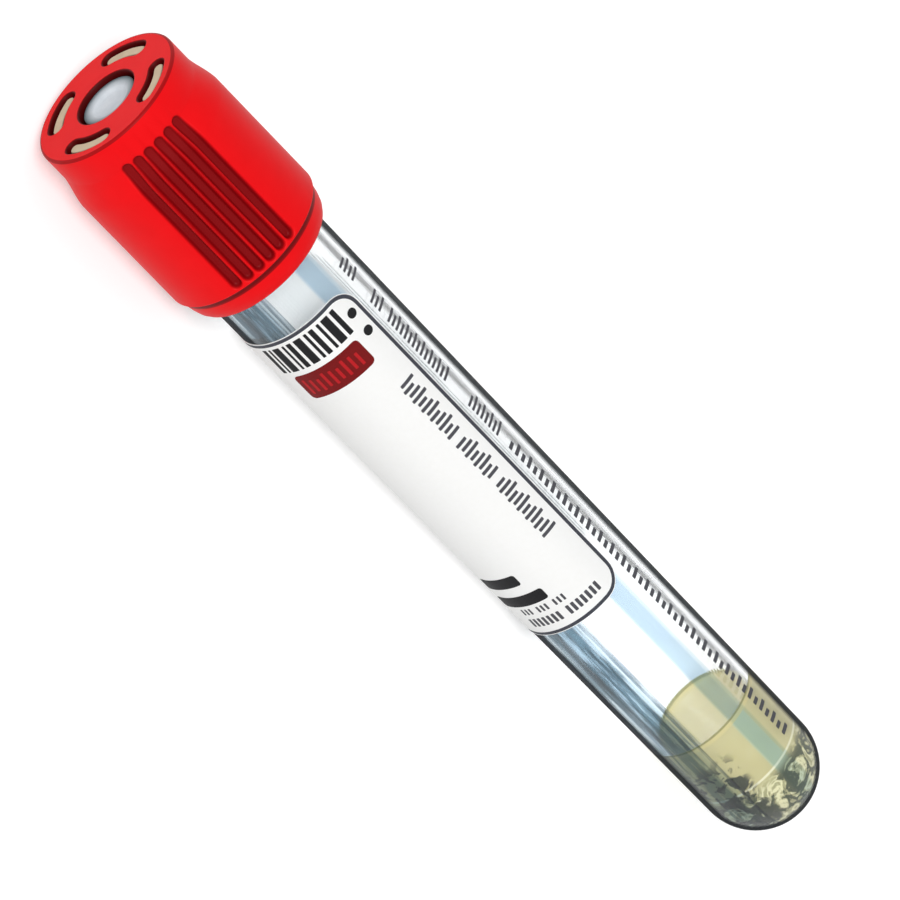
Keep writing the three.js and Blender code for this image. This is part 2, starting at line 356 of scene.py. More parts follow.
square_on = node(tree, "ShaderNodeMath", {0: 1.0, 1: edge_on}, operation="SUBTRACT").outputs[0]
square_on = node(tree, "ShaderNodeMath", {0: square_on, 1: side_on}, operation="DIVIDE").outputs[0]
wall_line = node(
    tree,
    "ShaderNodeMapRange",
    {0: square_on, 1: WALL_LINE_FROM, 2: WALL_LINE_TO, 4: WALL_LINE_DARK},
    interpolation_type="SMOOTHSTEP",
).outputs[0]
painted_edge_shade = node(tree, "ShaderNodeBsdfDiffuse", {"Color": colour("#2A2D31")}).outputs[0]
lined = {0: wall_line, 1: plastic.outputs[0], 2: painted_edge_shade}
lined = node(tree, "ShaderNodeMixShader", lined).outputs[0]

# Light passes the tube nearly whole, so its shadow is faint.
through = node(tree, "ShaderNodeBsdfTransparent", {"Color": (0.98, 0.985, 0.99, 1)}).outputs[0]
shadow_ray = node(tree, "ShaderNodeLightPath", {}).outputs["Is Shadow Ray"]
surface = node(tree, "ShaderNodeMixShader", {0: shadow_ray, 1: lined, 2: through})
cast = node(tree, "ShaderNodeVolumeAbsorption", {"Color": PET_TINT, "Density": PET_DENSITY})
node(tree, "ShaderNodeOutputMaterial", {"Surface": surface.outputs[0], "Volume": cast.outputs[0]})

inner_base = BASE_RADIUS - TUBE_WALL
tube_outline = [
    *arc(0, BASE_RADIUS, BASE_RADIUS, -90, 0, BASE_STEPS),
    *[(tube_radius(row), row) for row in SIDE_ROWS],
    *arc(LIP_RADIUS - LIP_ROUND, TUBE_LENGTH - LIP_ROUND, LIP_ROUND, 0, 90, 5),
    *arc(LIP_RADIUS - TUBE_WALL + LIP_ROUND, TUBE_LENGTH - LIP_ROUND, LIP_ROUND, 90, 180, 5),
    *[(tube_radius(row) - TUBE_WALL, row) for row in reversed(SIDE_ROWS)],
    *arc(0, BASE_RADIUS, inner_base, 0, -90, BASE_STEPS),
]
bm = turned(tube_outline, TURNED_STEPS)
piece(bm, "clear_tube", [clear_pet], "filled_tube", "tube")


# ---- separator gel ----
# A plug of soft thixotropic polyester gel, dosed into the round bottom, where it wets the wall and
# creeps up it a little. It is pale straw coloured and cloudy, and its colour carries painted light.

GEL_HEIGHT = 14.6
GEL_CREEPS = 0.45  # up the wall
MENISCUS = [(0.15, 0.26), (0.4, 0.1), (0.8, 0.02), (1.3, 0)]  # in from the wall, up from the top
GEL_WETS = 0.02  # how far it sinks into the wall, so that no air shows between them
NO_LIMIT = 999  # beyond every height and radius of the tube

# Where its colours change: from, to and fade, in millimetres up from the tip. They place painted
# light: a top face painted lighter, a line of painted shade where it creeps up the wall, a round
# bottom painted darker with swirls of painted reflection, a pale ring of painted highlight, and
# flecks of painted shade on one side.
PAINTED_LIGHT_TOP = (GEL_HEIGHT - 0.2, NO_LIMIT, 0.05)
PAINTED_SHADE_RIM = (GEL_HEIGHT + 0.22, NO_LIMIT, 0.04)
PAINTED_DARK_BASE = (-NO_LIMIT, 7.2, 0.8)
PAINTED_HIGHLIGHT_RING = (7.7, 7.95, 0.06)
FLECKED_BASE = (-NO_LIMIT, 12, 1.5)
FLECKED_SIDE = (-80, -12, 5)  # in degrees round from the grip panel's middle
PALE_REFLECTION_LEVELS = (0.40, 0.46, 0.02)  # levels of the noise
DARK_REFLECTION_LEVELS = (0.503, 0.625, 0.015)
FLECK_EDGE = (0.47, 0.54)

# Thixotropic gel, cast in place: cloudy and straw coloured with a wet gloss. Its colour carries
# painted light: the round bottom is painted darker, with pale and dark green swirls of painted
# reflection and a pale ring of painted highlight, dark flecks of painted shade lie against the wall
# on one side, the pale band of painted reflection crosses it, its top face is painted lighter and
# the line where it creeps up the wall is painted shade. Both are drawn coarser than real ones, so
# that they show. The swirls and flecks are drawn coarse, so that they show.
cloudy_gel = bpy.data.materials.new("cloudy_straw_gel")
tree = bare_tree(cloudy_gel)
where = upright(tree)
turn = from_panel(tree, where)
high = node(tree, "ShaderNodeSeparateXYZ", {0: where}).outputs[2]
cloud = node(tree, "ShaderNodeTexNoise", {"Vector": where, "Scale": 0.35, "Detail": 4}).outputs[0]
swirl = {"Vector": where, "Scale": 0.42, "Detail": 4, "Distortion": 1.6}
swirl = node(tree, "ShaderNodeTexNoise", swirl).outputs[0]
flecks = {"Vector": where, "Scale": 0.8, "Detail": 5, "Distortion": 0.9}
flecks = node(tree, "ShaderNodeTexNoise", flecks).outputs[0]
start, stop = FLECK_EDGE
flecks = node(tree, "ShaderNodeMapRange", {0: flecks, 1: start, 2: stop}).outputs[0]
on_side = met_together(
    tree,
    faded(tree, turn, *FLECKED_SIDE),
    faded(tree, high, *FLECKED_BASE),
)
in_base = faded(tree, high, *PAINTED_DARK_BASE)
pale_reflection_swirls = met_together(tree, faded(tree, swirl, *PALE_REFLECTION_LEVELS), in_base)
dark_reflection_swirls = met_together(tree, faded(tree, swirl, *DARK_REFLECTION_LEVELS), in_base)
coats = [
    (cloud, "#C9C294"),
    (faded(tree, turn, *PAINTED_REFLECTION_BAND), "#B3BC9B"),
    (faded(tree, high, *PAINTED_LIGHT_TOP), "#CBC08A"),
    (faded(tree, high, *PAINTED_SHADE_RIM), "#8B8752"),
    (in_base, "#A19E74"),
    (pale_reflection_swirls, "#DDD9B0"),
    (faded(tree, high, *PAINTED_HIGHLIGHT_RING), "#E2DFC0"),
    (dark_reflection_swirls, "#434A2F"),
    (met_together(tree, flecks, on_side), "#2F3520"),
]
straw = painted(tree, "#B8AF7C", coats)
gel_bump = node(tree, "ShaderNodeBump", {"Height": cloud, "Strength": 0.3, "Distance": 0.3 * MM})
jelly = node(
    tree,
    "ShaderNodeBsdfPrincipled",
    {
        "Base Color": straw,
        "Roughness": 0.12,
        "IOR": 1.46,
        "Transmission Weight": 0.1,
        "Subsurface Weight": 0.4,
        "Subsurface Radius": (1.0, 0.9, 0.6),
        "Subsurface Scale": 0.8 * MM,
        "Normal": gel_bump.outputs[0],
    },
)
node(tree, "ShaderNodeOutputMaterial", {"Surface": jelly.outputs[0]})

gel_edge = GEL_HEIGHT + GEL_CREEPS
gel_radius = tube_radius(gel_edge) - TUBE_WALL + GEL_WETS
gel_outline = [
    *arc(0, BASE_RADIUS, inner_base + GEL_WETS, -90, 0, BASE_STEPS),
    (gel_radius, gel_edge),
    *[(gel_radius - inward, GEL_HEIGHT + up) for inward, up in MENISCUS],
    (0, GEL_HEIGHT),
]
bm = turned(gel_outline, TURNED_STEPS)
piece(bm, "gel_plug", [cloudy_gel], "filled_tube", "separator_gel")


# ---- rubber stopper ----
# A moulded halogenbutyl stopper: a hollow plug with two sealing ribs, a flange that the cap holds,
# four curved lugs that key into the cap's slots, and a dished target for the needle.

SEAT_GAP = 0.1  # between the flange and the lip below it, and the cap above it
FLANGE_THICK = 2.2
FLANGE_BOTTOM = TUBE_LENGTH + SEAT_GAP
FLANGE_TOP = FLANGE_BOTTOM + FLANGE_THICK
FLANGE_RADIUS = 6.9
FLANGE_ROUND = 0.4
WEB_THICK = 2.3  # of the cap's top, which the target and the lugs stand in
CAP_TOP = FLANGE_TOP + SEAT_GAP + WEB_THICK
PLUG_RELIEF = 0.35  # between the plug's side and the bore
PLUG_LENGTH = 8.4
PLUG_BOTTOM = FLANGE_BOTTOM - PLUG_LENGTH
HOLLOW_RADIUS = 3.0
HOLLOW_DEPTH = 5.2
HOLLOW_TOP = PLUG_BOTTOM + HOLLOW_DEPTH
NOSE_SHAPE = [(0.85, 0), (0.65, 0.1), (0.05, 1.1), (0, 1.3)]  # in from its side, up from its bottom
RIB_DEPTHS = (5.0, 2.2)  # below the tube's lip
RIB_SHAPE = [(0, 0.65), (0.2, 0.4), (0.28, 0.2)]  # out from its root, up or down from its middle
TARGET_RADIUS = 2.9
TARGET_TOP = CAP_TOP - 0.45
TARGET_ROUND = 0.12
TARGET_DISH = [(2.35, 0), (2.2, 0.03), (1.65, 0.33), (1.45, 0.4), (0.5, 0.4), (0, 0.4)]
# The needle target's darkening between these radii is painted shade.
TARGET_SHADE = (1.9, 2.75)  # radii between which the target darkens towards its edge
SLOT_RADIUS = 5.8
SLOT_WIDTH = 1.7
SLOT_GAP = 0.3
SLOT_HALF_ANGLE = math.radians(18)
SLOT_STEPS = 14  # along a slot's side
SLOT_END_STEPS = 8
SLOT_TURNS = [FRONT_TURN + math.radians(45 + 90 * i) for i in range(4)]
LUG_TOP = CAP_TOP - 0.3
LUG_ROUND = 0.2
IN_PLANE = 0.001  # how near a flat face's plane its edges lie


def slot_ring(made, turn, width, height):
    """A closed ring of edges with a curved slot's outline, drawn by sweeping one point round it."""
    half = width / 2
    ends = [turn - SLOT_HALF_ANGLE, turn + SLOT_HALF_ANGLE]
    start, stop = [Vector((math.cos(a), math.sin(a), 0)) * SLOT_RADIUS for a in ends]
    rise = Vector((0, 0, height))
    point = made.verts.new(start * (1 + half / SLOT_RADIUS) + rise)
    sweeps = [
        (rise, 2 * SLOT_HALF_ANGLE, SLOT_STEPS),
        (stop + rise, math.pi, SLOT_END_STEPS),
        (rise, -2 * SLOT_HALF_ANGLE, SLOT_STEPS),
        (start + rise, math.pi, SLOT_END_STEPS),
    ]
    ring = {point}
    for centre, angle, steps in sweeps:
        swept = {"cent": centre, "axis": (0, 0, 1), "angle": angle, "steps": steps}
        before = set(made.verts)
        last = bmesh.ops.spin(made, geom=[point], **swept)["geom_last"]
        point = next(v for v in last if isinstance(v, bmesh.types.BMVert))
        ring |= set(made.verts) - before
    bmesh.ops.remove_doubles(made, verts=[v for v in made.verts if v in ring], dist=WELD)
    ring = {v for v in ring if v.is_valid}
    return [e for e in made.edges if e.verts[0] in ring and e.verts[1] in ring]


def slot_wall(turn, rings):
    """A new wall of a slot or a lug, from rings of (width, height) joined one above another."""
    made = bmesh.new()
    edges = [slot_ring(made, turn, width, height) for width, height in rings]
    for lower, upper in zip(edges, edges[1:]):
        bmesh.ops.bridge_loops(made, edges=lower + upper)
    return made


def joined(first, second):
    """Two meshes in one."""
    mesh = bpy.data.meshes.new("joining")
    second.to_mesh(mesh)
    second.free()
    first.from_mesh(mesh)
    bpy.data.meshes.remove(mesh)
    return first


def flat_face(made, height):
    """Fills the plane at a height, between the open edges that lie in it."""

    def in_plane(edge):
        return all(abs(v.co.z - height) < IN_PLANE for v in edge.verts)

    filled = bmesh.ops.triangle_fill(
        made,
        use_beauty=True,
        use_dissolve=False,
        edges=[e for e in made.edges if e.is_boundary and in_plane(e)],
        normal=(0, 0, 1),
    )
    for face in filled["geom"]:
        if isinstance(face, bmesh.types.BMFace):
            face.smooth = False


def rib(depth):
    """The outline of a sealing rib, rounded, at a depth below the lip."""
    middle = TUBE_LENGTH - depth
    root = tube_radius(middle) - TUBE_WALL - PLUG_RELIEF
    lower = [(root + out, middle - aside) for out, aside in RIB_SHAPE]
    upper = [(root + out, middle + aside) for out, aside in reversed(RIB_SHAPE)]
    return lower + upper


# Halogenbutyl rubber, compression moulded and siliconised: cream, soft and matte, with a slightly
# uneven bloom on it, and painted shade in its nooks. The needle target is painted a cool light grey
# as a painted reflection, with painted shade darkening it towards its edge.
butyl = bpy.data.materials.new("moulded_butyl_rubber")
tree = bare_tree(butyl)
where = upright(tree)
high = node(tree, "ShaderNodeSeparateXYZ", {0: where}).outputs[2]
level = node(tree, "ShaderNodeMapping", {"Vector": where, "Scale": (1, 1, 0)}).outputs[0]
out = node(tree, "ShaderNodeVectorMath", {0: level}, operation="LENGTH").outputs["Value"]
bloom = node(tree, "ShaderNodeTexNoise", {"Vector": where, "Scale": 0.8, "Detail": 5}).outputs[0]
# The target's cool light grey is a painted reflection, and its darker edge is painted shade.
start, stop = TARGET_SHADE
painted_dish_shade = node(tree, "ShaderNodeMapRange", {0: out, 1: start, 2: stop}).outputs[0]
target_reflection_and_shade = painted(tree, "#B6BEC6", [(bloom, "#DCE1E6"), (painted_dish_shade, "#53646A")])
on_target = met_together(
    tree,
    faded(tree, out, -NO_LIMIT, TARGET_RADIUS + SLOT_GAP - 0.1, 0.1),
    faded(tree, high, FLANGE_TOP + 0.6, NO_LIMIT, 0.2),
)
rubber_colour = painted(tree, "#BCA588", [(bloom, "#D6C5A7"), (on_target, target_reflection_and_shade)])
# Ambient occlusion darkens the rubber in its nooks: this is painted shade.
shade = node(tree, "ShaderNodeAmbientOcclusion", {"Distance": 0.9 * MM}, samples=8).outputs["AO"]
in_open = node(tree, "ShaderNodeMapRange", {0: shade, 1: 0.3, 2: 0.8}).outputs[0]
rubber_colour = painted(tree, "#4A2E22", [(in_open, rubber_colour)])
skin = node(tree, "ShaderNodeTexNoise", {"Vector": where, "Scale": 9, "Detail": 2}).outputs[0]
skin_bump = node(tree, "ShaderNodeBump", {"Height": skin, "Strength": 0.3, "Distance": 0.05 * MM})
rubber = node(
    tree,
    "ShaderNodeBsdfPrincipled",
    {
        "Base Color": rubber_colour,
        "Roughness": 0.55,
        "IOR": 1.52,
        "Normal": skin_bump.outputs[0],
    },
)
node(tree, "ShaderNodeOutputMaterial", {"Surface": rubber.outputs[0]})

nose_radius = tube_radius(PLUG_BOTTOM) - TUBE_WALL - PLUG_RELIEF
stopper_outline = [
    *arc(0, HOLLOW_TOP - HOLLOW_RADIUS, HOLLOW_RADIUS, 90, 0, 10),
    (HOLLOW_RADIUS, PLUG_BOTTOM + 0.2),
    (HOLLOW_RADIUS + 0.2, PLUG_BOTTOM),
    *[(nose_radius - inward, PLUG_BOTTOM + up) for inward, up in NOSE_SHAPE],
    *[point for depth in RIB_DEPTHS for point in rib(depth)],
    (LIP_RADIUS - TUBE_WALL - PLUG_RELIEF, FLANGE_BOTTOM),
    *arc(FLANGE_RADIUS - FLANGE_ROUND, FLANGE_BOTTOM + FLANGE_ROUND, FLANGE_ROUND, -90, 0, 6),
    *arc(FLANGE_RADIUS - FLANGE_ROUND, FLANGE_TOP - FLANGE_ROUND, FLANGE_ROUND, 0, 90, 6),
]
target_outline = [
    (TARGET_RADIUS, FLANGE_TOP),
    *arc(TARGET_RADIUS - TARGET_ROUND, TARGET_TOP - TARGET_ROUND, TARGET_ROUND, 0, 90, 3),
    *[(radius, TARGET_TOP - down) for radius, down in TARGET_DISH],
]
bm = joined(turned(stopper_outline, TURNED_STEPS), turned(target_outline, TURNED_STEPS))
lug_width = SLOT_WIDTH - 2 * SLOT_GAP
lug_rings = [
    (lug_width + 0.2, FLANGE_TOP),
    (lug_width, FLANGE_TOP + 0.1),
    (lug_width, LUG_TOP - LUG_ROUND),
    (lug_width - 0.3 * LUG_ROUND, LUG_TOP - 0.4 * LUG_ROUND),
    (lug_width - 1.2 * LUG_ROUND, LUG_TOP),
]
for turn in SLOT_TURNS:
    bm = joined(bm, slot_wall(turn, lug_rings))
for face in bm.faces:
    face.smooth = True
flat_face(bm, FLANGE_TOP)
flat_face(bm, LUG_TOP)
piece(bm, "rubber_stopper", [butyl], "closure", "stopper")


# ---- cap ----
# The safety cap is injection moulded in red polyethylene. It snaps over the stopper's flange, its
# skirt covers the top of the tube, and two panels of six grooves give the fingers a grip.

CAP_RIM = CAP_TOP - 22.2
CAP_LEDGE = CAP_RIM + 2.6
BORE_RADIUS = 6.7
BORE_DRAFT_FROM = 94  # the height below which the bore opens out towards the rim
RIM_BORE = 6.8
RIM_RADIUS = RIM_BORE + 0.6
RIM_CHAMFER = 0.12
RIM_ROUND = 0.15
RIM_CURVE = [(0.22, 0.45), (0.42, 1.1)]  # out from the rim, up from its bottom
BARREL_RADIUS = 8.33
BARREL_ROWS = [90, 94]  # heights of the rings up the barrel, and then up the flare
LEDGE_ROUND = 0.12
UNDER_LEDGE = [(0.37, 0.7), (0.32, 0.35), (0.30, 0.12), (0.25, 0.02), (0.15, 0)]  # in and down
NECK_RADIUS = 7.71
FLARE_TOP = CAP_TOP - 3.1
FLARE_BOTTOM = CAP_TOP - 6.3
FLARE_ROWS = [FLARE_BOTTOM + 0.25 * i for i in range(10)]
TOP_BEVEL = 0.3
HOLE_RADIUS = TARGET_RADIUS + SLOT_GAP
HOLE_EDGE = 0.15
WEB_BOTTOM = CAP_TOP - WEB_THICK
POCKET_RADIUS = FLANGE_RADIUS + 0.15
CAP_STEPS = 576  # round the cap
GROOVE_STEPS = 15  # of them to each groove with the rib beside it
GROOVE_COUNT = 6
GROOVE_PITCH = 2 * math.pi * GROOVE_STEPS / CAP_STEPS
GROOVE_WIDTH = 1.36
GROOVE_SIDE = 0.4
GROOVE_DEPTH = 0.6
NECK_GROOVE_DEPTH = 0.3
GROOVE_LOW = CAP_LEDGE + 0.15
GROOVE_HIGH = CAP_TOP - 2.6
GROOVE_END_ROWS = [i * 0.09 for i in range(10)]  # close rings for the grooves' round ends

# How dark the red is painted: up to 1 for painted shade in the grooves and on their ribs and for
# the darker edges, and up to 2 for the deeper painted shade of the slots and the ledge.
RIB_PAINTED_SHADE = 0.36
EDGE_DARKENED = 0.5
LEDGE_SHADE = 1.6
SLOT_SHADE = 2.0


def eased(value):
    """A smooth step from nought to one."""
    held = min(max(value, 0), 1)
    return held * held * (3 - 2 * held)


def up_the_flare(height):
    """Nought below the flare, one above it, and in proportion between."""
    return min(max((height - FLARE_BOTTOM) / (FLARE_TOP - FLARE_BOTTOM), 0), 1)


def cap_side(height):
    """The cap's outside radius from the ledge to the top: barrel, flare and neck."""
    up = up_the_flare(height)
    return BARREL_RADIUS - (BARREL_RADIUS - NECK_RADIUS) * (0.5 * eased(up) + 0.5 * up)


def groove_floor(height):
    """The radius of the grooves' floor, which follows the flare."""
    depth = GROOVE_DEPTH + (NECK_GROOVE_DEPTH - GROOVE_DEPTH) * up_the_flare(height)
    return cap_side(height) - depth


# Polyethylene, injection moulded in a finely eroded mould: full red right through, a soft waxy
# sheen, and a very fine even texture. Its colour carries painted shade in the grooves and on their
# ribs, deeper painted shade in the slots and under the ledge, and painted shade from ambient
# occlusion in its creases; the top edge and the rim are painted darker.
red_polyethylene = bpy.data.materials.new("moulded_red_polyethylene")
tree = bare_tree(red_polyethylene)
where = upright(tree)
mottle = node(tree, "ShaderNodeTexNoise", {"Vector": where, "Scale": 0.5, "Detail": 4}).outputs[0]
# A layer on the cap's points sets how dark the red is painted: painted shade, and darker edges.
sunk = node(tree, "ShaderNodeAttribute", {}, attribute_name="painted_shade_level").outputs["Fac"]
painted_groove_shade = {0: sunk, 1: 0.0, 2: 0.7}
painted_groove_shade = node(tree, "ShaderNodeMapRange", painted_groove_shade, interpolation_type="SMOOTHSTEP").outputs[0]
in_slot = node(tree, "ShaderNodeMapRange", {0: sunk, 1: 1.0, 2: 2.0}).outputs[0]
red = painted(tree, "#E2060E", [(mottle, "#EC0A12"), (painted_groove_shade, "#860409"), (in_slot, "#4A0506")])
# Ambient occlusion darkens the red in its creases: this is painted shade.
shade = {"Distance": 1.2 * MM}
shade = node(tree, "ShaderNodeAmbientOcclusion", shade, samples=8, only_local=True).outputs["AO"]
in_open = node(tree, "ShaderNodeMapRange", {0: shade, 1: 0.25, 2: 0.95}).outputs[0]
red = painted(tree, "#700308", [(in_open, red)])
erosion = node(tree, "ShaderNodeTexNoise", {"Vector": where, "Scale": 6, "Detail": 3}).outputs[0]
erosion_bump = {"Height": erosion, "Strength": 0.2, "Distance": 0.04 * MM}
erosion_bump = node(tree, "ShaderNodeBump", erosion_bump)
waxy = node(
    tree,
    "ShaderNodeBsdfPrincipled",
    {
        "Base Color": red,
        "Roughness": 0.48,
        "IOR": 1.51,
        "Specular IOR Level": 0.1,
        "Normal": erosion_bump.outputs[0],
    },
)
node(tree, "ShaderNodeOutputMaterial", {"Surface": waxy.outputs[0]})

rows = [
    *[GROOVE_LOW + up for up in GROOVE_END_ROWS],
    *BARREL_ROWS,
    *FLARE_ROWS,
    *[GROOVE_HIGH - down for down in reversed(GROOVE_END_ROWS)],
]
cap_outline = [
    (POCKET_RADIUS, WEB_BOTTOM),
    (POCKET_RADIUS, TUBE_LENGTH),
    (BORE_RADIUS, TUBE_LENGTH),
    (BORE_RADIUS + 0.02, BORE_DRAFT_FROM),
    (RIM_BORE, CAP_RIM + RIM_CHAMFER),
    (RIM_BORE + RIM_CHAMFER, CAP_RIM),
    *arc(RIM_RADIUS - RIM_ROUND, CAP_RIM + RIM_ROUND, RIM_ROUND, -90, -15, 4),
    *[(RIM_RADIUS + out, CAP_RIM + up) for out, up in RIM_CURVE],
    *[(BARREL_RADIUS - inward, CAP_LEDGE - down) for inward, down in UNDER_LEDGE],
    *arc(BARREL_RADIUS - LEDGE_ROUND, CAP_LEDGE + LEDGE_ROUND, LEDGE_ROUND, -90, 0, 4),
    *[(cap_side(row), row) for row in rows],
    *arc(NECK_RADIUS - TOP_BEVEL, CAP_TOP - TOP_BEVEL, TOP_BEVEL, 0, 90, 6),
]
bm = turned(cap_outline, CAP_STEPS)

# The grooves are sunk into two opposite sides, with round ends. Each point of the side keeps how
# deep it lies, for the painted shade in its colour, and those on the ribs between the grooves get a
# lighter painted shade too.
half_width = GROOVE_WIDTH / 2
half_panel = GROOVE_COUNT / 2 * GROOVE_PITCH
low_end, high_end = GROOVE_LOW + half_width, GROOVE_HIGH - half_width
painted_shade_level = bm.verts.layers.float.new("painted_shade_level")
for v in bm.verts:
    height, radius = v.co.z, v.co.xy.length
    on_side = GROOVE_LOW - 0.1 < height < GROOVE_HIGH + 0.1 and radius > cap_side(height) - 0.01
    if not on_side:
        continue
    turn = (math.atan2(v.co.y, v.co.x) - FRONT_TURN + math.pi / 2) % math.pi - math.pi / 2
    groove = min(max(round(turn / GROOVE_PITCH - 0.5), -GROOVE_COUNT // 2), GROOVE_COUNT // 2 - 1)
    aside = (turn - (groove + 0.5) * GROOVE_PITCH) * radius
    beyond = max(low_end - height, height - high_end, 0)
    depth = eased((half_width - math.hypot(aside, beyond)) / GROOVE_SIDE)
    in_panel = min((half_panel - abs(turn)) * radius, high_end - height, height - low_end)
    v[painted_shade_level] = max(depth, RIB_PAINTED_SHADE * eased(in_panel / GROOVE_SIDE))
    sunk = depth * (radius - groove_floor(height))
    v.co.xy *= (radius - sunk) / radius

hole_outline = [
    (HOLE_RADIUS, WEB_BOTTOM),
    (HOLE_RADIUS, CAP_TOP - HOLE_EDGE),
    (HOLE_RADIUS + 0.04, CAP_TOP - 0.05),
    (HOLE_RADIUS + HOLE_EDGE, CAP_TOP),
]
bm = joined(bm, turned(hole_outline, TURNED_STEPS))
slot_rings = [
    (SLOT_WIDTH, WEB_BOTTOM),
    (SLOT_WIDTH, CAP_TOP - HOLE_EDGE),
    (SLOT_WIDTH + 0.08, CAP_TOP - 0.05),
    (SLOT_WIDTH + 2 * HOLE_EDGE, CAP_TOP),
]
for turn in SLOT_TURNS:
    bm = joined(bm, slot_wall(turn, slot_rings))

# Deep painted shade on the slots' walls and under the ledge; the top edge and rim painted darker.
painted_shade_level = bm.verts.layers.float["painted_shade_level"]
for v in bm.verts:
    height, radius = v.co.z, v.co.xy.length
    if WEB_BOTTOM - 0.01 < height < CAP_TOP - 0.02 and radius < POCKET_RADIUS + 0.05:
        v[painted_shade_level] = SLOT_SHADE
    if CAP_LEDGE - 0.4 < height < CAP_LEDGE + 0.01 and radius > BORE_RADIUS + 0.5:
        v[painted_shade_level] = LEDGE_SHADE
    top_edge = height > CAP_TOP - TOP_BEVEL + 0.02 and radius > NECK_RADIUS - TOP_BEVEL + 0.02
    if top_edge or height < CAP_RIM + 0.08:
        v[painted_shade_level] = EDGE_DARKENED
for face in bm.faces:
    face.smooth = True
flat_face(bm, CAP_TOP)
flat_face(bm, WEB_BOTTOM)
piece(bm, "pull_off_cap", [red_polyethylene], "closure", "cap")


# ---- label ----
# A die-cut label of white coated film with round corners, stuck round the tube under the cap. It
# leaves a strip of the tube bare, and a dark line is printed round its edge.

LABEL_WIDTH = 28.6
LABEL_TOP = CAP_RIM - 5.0
LABEL_HEIGHT = 42.6
LABEL_CORNER = 2.4
LABEL_RIGHT = math.radians(33.5)  # from the grip panel's middle to the label's right-hand edge
LABEL_THICK = 0.1
STUCK = 0.01  # how far the adhesive side sinks into the tube, so that no air shows between them
WRAP_RADIUS = 6.32
BEND_STEP = 0.25
KEYLINE_IN = 0.07
KEYLINE_WIDTH = 0.38


def rounded(made, left, right, low, high, corner, segments=4):
    """A flat sheet with round corners, in millimetres round and up the unrolled tube."""
    sheet = bmesh.ops.create_grid(made, x_segments=1, y_segments=1, size=0.5)["verts"]
    bmesh.ops.scale(made, vec=(right - left, high - low, 1), verts=sheet)
    bmesh.ops.translate(made, vec=((left + right) / 2, (low + high) / 2, 0), verts=sheet)
    bmesh.ops.bevel(
        made,
        geom=sheet,
        affect="VERTICES",
        offset=corner,
        segments=segments,
        profile=0.5,
        material=-1,
    )


def wrapped(made, lift, thickness):
    """Thickens flat sheets, printed on the outer side only, and bends them round the tube."""
    grown = bmesh.ops.extrude_face_region(made, geom=made.faces[:])["geom"]
    raised = [g for g in grown if isinstance(g, bmesh.types.BMVert)]
    bmesh.ops.translate(made, vec=(0, 0, thickness), verts=raised)
    for face in made.faces:
        if max(v.co.z for v in face.verts) < thickness / 2:
            face.material_index = 0
    first = min(v.co.x for v in made.verts)
    last = max(v.co.x for v in made.verts)
    for i in range(1, math.ceil((last - first) / BEND_STEP)):
        whole = made.verts[:] + made.edges[:] + made.faces[:]
        cut = (first + i * BEND_STEP, 0, 0)
        bmesh.ops.bisect_plane(made, geom=whole, dist=0.0001, plane_co=cut, plane_no=(1, 0, 0))
    for v in made.verts:
        turn = FRONT_TURN + v.co.x / WRAP_RADIUS
        radius = tube_radius(v.co.y) + lift + v.co.z
        v.co = (radius * math.cos(turn), radius * math.sin(turn), v.co.y)
    for face in made.faces:
        face.smooth = False


def printed(name, code, worn):
    """A flexographic ink: a thin, uneven matt coat that lets a little of the film through."""
    ink = bpy.data.materials.new(name)
    tree = bare_tree(ink)
    specks = {"Vector": upright(tree), "Scale": 5, "Detail": 4}
    specks = node(tree, "ShaderNodeTexNoise", specks).outputs[0]
    tone = painted(tree, code, [(specks, worn)])
    coat = {"Base Color": tone, "Roughness": 0.6, "IOR": 1.5, "Specular IOR Level": 0.2}
    shine = node(tree, "ShaderNodeBsdfPrincipled", coat)
    node(tree, "ShaderNodeOutputMaterial", {"Surface": shine.outputs[0]})
    return ink


# Coated white label film, die cut: bright and smooth, with a faint fibre under its satin coating,
# and thin enough to let a little light through.
white_film = bpy.data.materials.new("coated_white_film")
tree = bare_tree(white_film)
where = upright(tree)
fibre = node(tree, "ShaderNodeTexNoise", {"Vector": where, "Scale": 2.2, "Detail": 6}).outputs[0]
white = painted(tree, "#FAFAF8", [(fibre, "#FFFFFE")])
fibre_bump = node(tree, "ShaderNodeBump", {"Height": fibre, "Strength": 0.1, "Distance": 0.03 * MM})
coated = {
    "Base Color": white,
    "Roughness": 0.45,
    "IOR": 1.5,
    "Normal": fibre_bump.outputs[0],
}
film = node(tree, "ShaderNodeBsdfPrincipled", coated).outputs[0]
let_through = node(tree, "ShaderNodeBsdfTranslucent", {"Color": white}).outputs[0]
sheer = node(tree, "ShaderNodeMixShader", {0: 0.15, 1: film, 2: let_through})
node(tree, "ShaderNodeOutputMaterial", {"Surface": sheer.outputs[0]})

keyline_ink = printed("keyline_ink", "#2E3038", "#4A4C54")

label_right = LABEL_RIGHT * WRAP_RADIUS
label_left = label_right - LABEL_WIDTH
label_low = LABEL_TOP - LABEL_HEIGHT
bm = bmesh.new()
rounded(bm, label_left, label_right, label_low, LABEL_TOP, LABEL_CORNER, segments=8)
inset = {"use_boundary": True, "use_even_offset": True}
bmesh.ops.inset_region(bm, faces=bm.faces[:], thickness=KEYLINE_IN, **inset)
middle = max(bm.faces, key=lambda face: face.calc_area())
line = bmesh.ops.inset_region(bm, faces=[middle], thickness=KEYLINE_WIDTH, **inset)
for face in line["faces"]:
    face.material_index = 1
wrapped(bm, -STUCK, LABEL_THICK)
piece(bm, "wrapped_label", [white_film, keyline_ink], "filled_tube", "label")


# ---- print on the label ----
# Printed by flexography before the label is die cut: a black bar pattern, a red colour-code block,
# a small scale of grey strokes, two black registration bars and two fine dashed lines.

